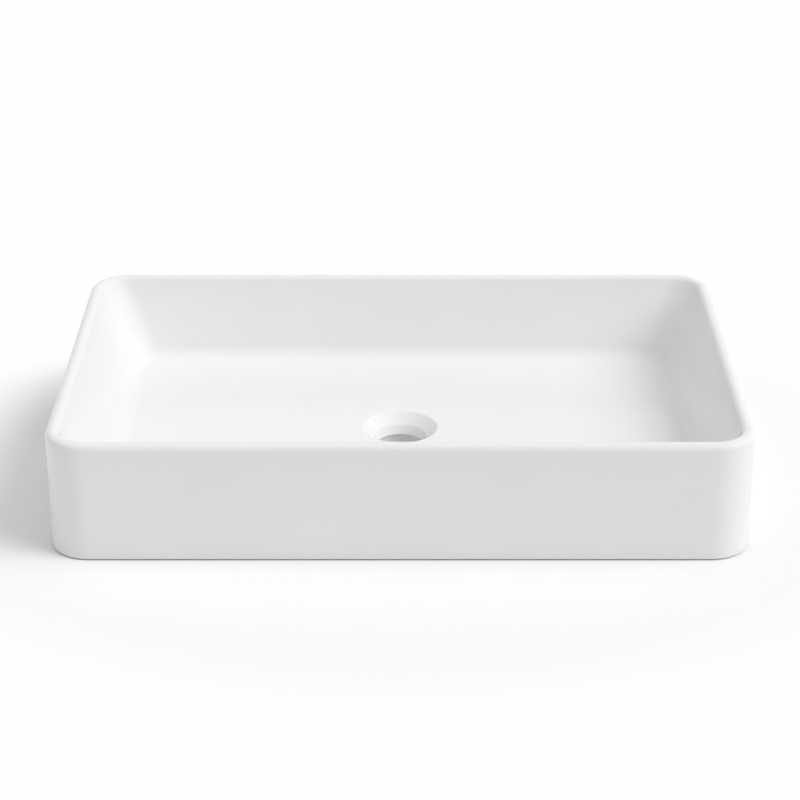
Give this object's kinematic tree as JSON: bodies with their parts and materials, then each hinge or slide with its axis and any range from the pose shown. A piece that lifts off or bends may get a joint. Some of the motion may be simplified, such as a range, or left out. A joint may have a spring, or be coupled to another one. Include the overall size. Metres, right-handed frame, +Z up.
{
  "type": "countertop basin",
  "caption": "Low rectangular countertop wash basin in white glazed ceramic, with a thin rounded rim, leaning inner walls, a falling floor, a funnel-shaped waste outlet and a hollow underside.",
  "frame": {"origin": "on the counter, under the middle of the basin, in the axis of the waste outlet", "axes": "+X along the long side, +Y towards the back, +Z up"},
  "size_m": [0.61, 0.4, 0.11],
  "materials": {
    "glazed_ceramic": "gloss white glaze",
    "pad_rubber": "matt, slightly translucent"
  },
  "bodies": {
    "root": {"basin_bowl": "glazed_ceramic", "pad_front_left": "pad_rubber", "pad_front_middle": "pad_rubber", "pad_front_right": "pad_rubber", "pad_back_left": "pad_rubber", "pad_back_middle": "pad_rubber", "pad_back_right": "pad_rubber"}
  },
  "joints": []
}
